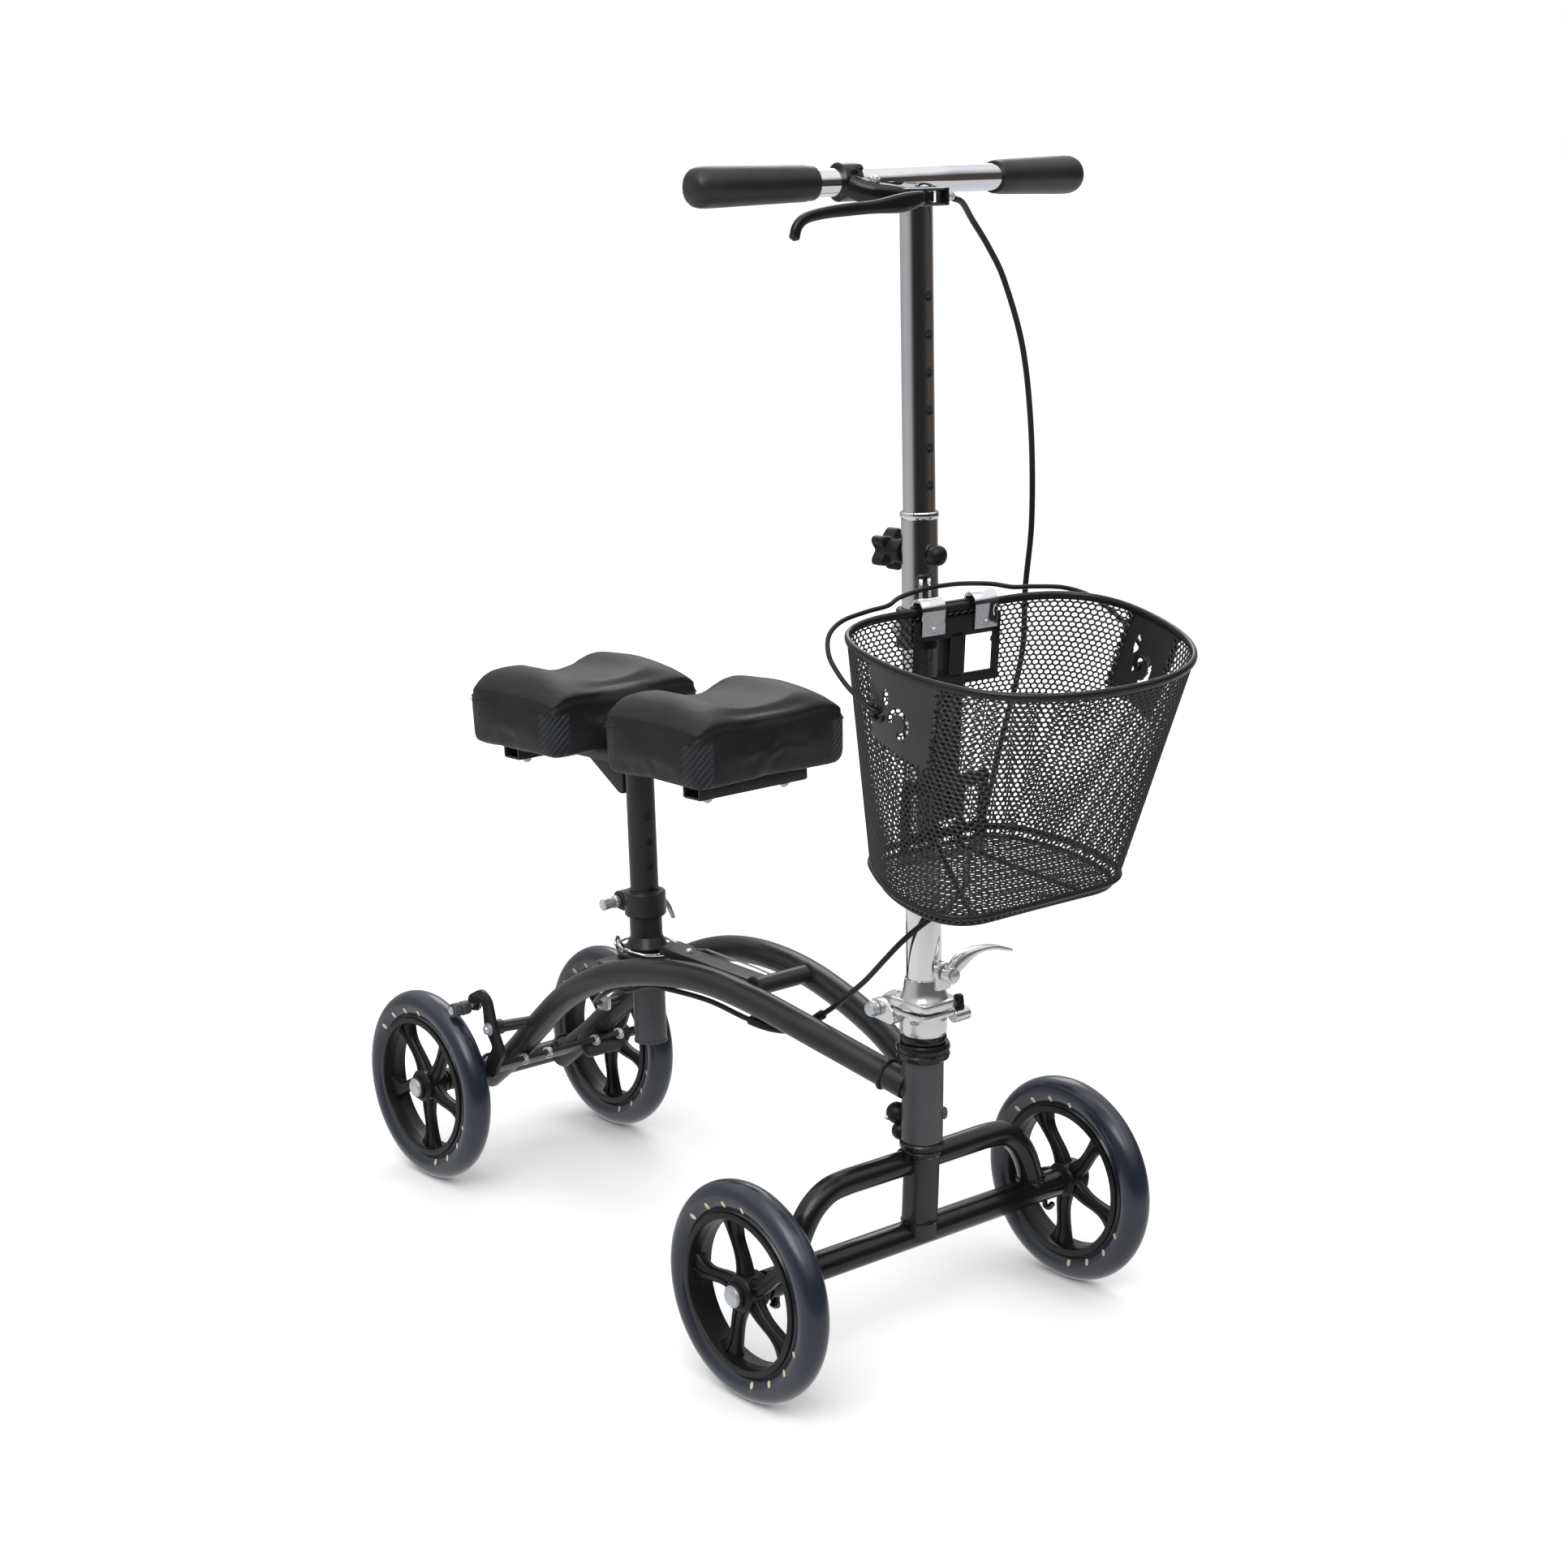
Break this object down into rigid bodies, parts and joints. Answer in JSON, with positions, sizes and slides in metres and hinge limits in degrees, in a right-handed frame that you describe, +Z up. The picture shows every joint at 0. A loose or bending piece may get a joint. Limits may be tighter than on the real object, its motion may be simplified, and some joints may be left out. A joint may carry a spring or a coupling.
{
  "type": "steerable knee scooter",
  "caption": "Steerable knee walker with a cushioned kneeling saddle on a twin-tube frame, a folding telescopic steering column with a hand brake, and a wire basket.",
  "frame": {"origin": "on the ground, below the middle of the scooter's length and width, with the wheels standing on Z 0", "axes": "+Z up; -Y is the way it travels, where the basket is; -X is the rider's right, the side of the hand brake"},
  "size_m": [0.424, 0.959, 1.0071],
  "materials": {
    "frame_black": "satin powder coat",
    "chrome": "polished",
    "cast_silver": "satin cast",
    "zinc": "bright zinc plate",
    "black_plastic": "moulded, lightly textured",
    "tyre": "smooth, slightly translucent",
    "grip": "soft, matt",
    "vinyl": "embossed vinyl",
    "wire_black": "gloss coat",
    "cable": "smooth sheath"
  },
  "bodies": {
    "frame": {"frame_tube_right": "frame_black", "frame_tube_left": "frame_black", "rear_axle_tube": "frame_black", "rear_axle_rod": "zinc", "head_tube": "frame_black", "headset_lower_cup": "black_plastic", "headset_upper_cup": "black_plastic", "seat_tube": "frame_black", "seat_bridge": "frame_black", "cross_brace": "frame_black", "spine_bar": "frame_black", "brake_bracket_right": "frame_black", "brake_bracket_left": "frame_black", "cable_clip": "black_plastic", "cable_stop": "zinc", "brake_cable_frame": "cable", "seat_clamp": "frame_black"},
    "steering": {"front_riser": "frame_black", "front_axle_tube": "frame_black", "front_axle_rod": "zinc", "front_arch_right": "frame_black", "front_arch_left": "frame_black", "headset_cover": "black_plastic", "fold_base": "cast_silver", "fold_pin": "zinc"},
    "column": {"fold_clamp": "cast_silver", "lower_column": "chrome", "basket_bracket": "frame_black", "knob_cap": "black_plastic", "brake_cable_free": "cable"},
    "fold_latch": {"fold_lever": "cast_silver"},
    "knob": {"star_knob": "black_plastic"},
    "handlebar": {"upper_column": "chrome", "handlebar": "chrome", "grip_right": "grip", "grip_left": "grip", "brake_perch": "black_plastic", "cable_adjuster": "zinc"},
    "hand_brake": {"brake_lever": "black_plastic"},
    "seat": {"seat_post": "frame_black", "seat_rail": "frame_black", "front_pad": "vinyl", "rear_pad": "vinyl"},
    "seat_latch": {"seat_lever": "zinc"},
    "rear_brake": {"brake_yoke": "frame_black", "brake_shoe_right": "zinc", "brake_shoe_left": "zinc"},
    "basket": {"basket": "wire_black", "basket_back_plate": "frame_black", "basket_hook_right": "chrome", "basket_hook_left": "chrome"},
    "bail": {"basket_bail": "wire_black"},
    "front_wheel_right": {"front_tyre_right": "tyre", "front_rim_right": "black_plastic"},
    "front_wheel_left": {"front_tyre_left": "tyre", "front_rim_left": "black_plastic"},
    "rear_wheel_right": {"rear_tyre_right": "tyre", "rear_rim_right": "black_plastic"},
    "rear_wheel_left": {"rear_tyre_left": "tyre", "rear_rim_left": "black_plastic"}
  },
  "joints": [
    {"name": "steering", "type": "hinge", "parent": "frame", "child": "steering", "pos_m": [0, -0.20775, 0.22], "axis": [0, 0, 1], "range_deg": [-50, 50], "deforming": ["brake_cable_free"]},
    {"name": "column_fold", "type": "hinge", "parent": "steering", "child": "column", "pos_m": [0, -0.17075, 0.297], "axis": [-1, 0, 0], "range_deg": [0, 32], "deforming": ["brake_cable_free"]},
    {"name": "fold_lever", "type": "hinge", "parent": "column", "child": "fold_latch", "pos_m": [0.005, -0.23475, 0.337], "axis": [0, -1, 0], "range_deg": [0, 60]},
    {"name": "bar_height", "type": "slide", "parent": "column", "child": "handlebar", "axis": [0, 0.0319, 0.9995], "range_m": [-0.213, 0], "deforming": ["brake_cable_free"]},
    {"name": "height_knob", "type": "hinge", "parent": "column", "child": "knob", "pos_m": [0, -0.16038, 0.69065], "axis": [0, 0.9995, -0.0319], "range_deg": [0, 300]},
    {"name": "brake_lever", "type": "hinge", "parent": "handlebar", "child": "hand_brake", "pos_m": [-0.022, -0.22016, 0.98021], "axis": [0, -0.0319, -0.9995], "range_deg": [0, 14], "stiffness_Nm_per_rad": 2},
    {"name": "brake_yoke", "type": "hinge", "parent": "frame", "child": "rear_brake", "pos_m": [0, 0.30325, 0.17], "axis": [-1, 0, 0], "range_deg": [0, 4.2], "stiffness_Nm_per_rad": 4},
    {"name": "seat_height", "type": "slide", "parent": "frame", "child": "seat", "axis": [0, 0.0489, 0.9988], "range_m": [-0.076, 0.025]},
    {"name": "seat_lever", "type": "hinge", "parent": "frame", "child": "seat_latch", "pos_m": [0.022, 0.20092, 0.30769], "axis": [0, -0.9988, 0.0489], "range_deg": [0, 90]},
    {"name": "basket_lift", "type": "slide", "parent": "column", "child": "basket", "axis": [-0.0601, -0.107, 0.9924], "range_m": [0, 0.15]},
    {"name": "bail_swing", "type": "hinge", "parent": "basket", "child": "bail", "pos_m": [-0.0303, -0.34025, 0.60631], "axis": [0.9797, -0.1968, 0.0381], "range_deg": [0, 120]},
    {"name": "front_spin_right", "type": "hinge", "parent": "steering", "child": "front_wheel_right", "pos_m": [-0.1905, -0.20175, 0.09525], "axis": [1, 0, 0], "continuous": true},
    {"name": "front_spin_left", "type": "hinge", "parent": "steering", "child": "front_wheel_left", "pos_m": [0.1905, -0.20175, 0.09525], "axis": [1, 0, 0], "continuous": true},
    {"name": "rear_spin_right", "type": "hinge", "parent": "frame", "child": "rear_wheel_right", "pos_m": [-0.1135, 0.38425, 0.09525], "axis": [1, 0, 0], "continuous": true},
    {"name": "rear_spin_left", "type": "hinge", "parent": "frame", "child": "rear_wheel_left", "pos_m": [0.1135, 0.38425, 0.09525], "axis": [1, 0, 0], "continuous": true}
  ],
  "couplings": [
    {"joint": "brake_yoke", "follows": "brake_lever", "ratio": 0.3}
  ]
}
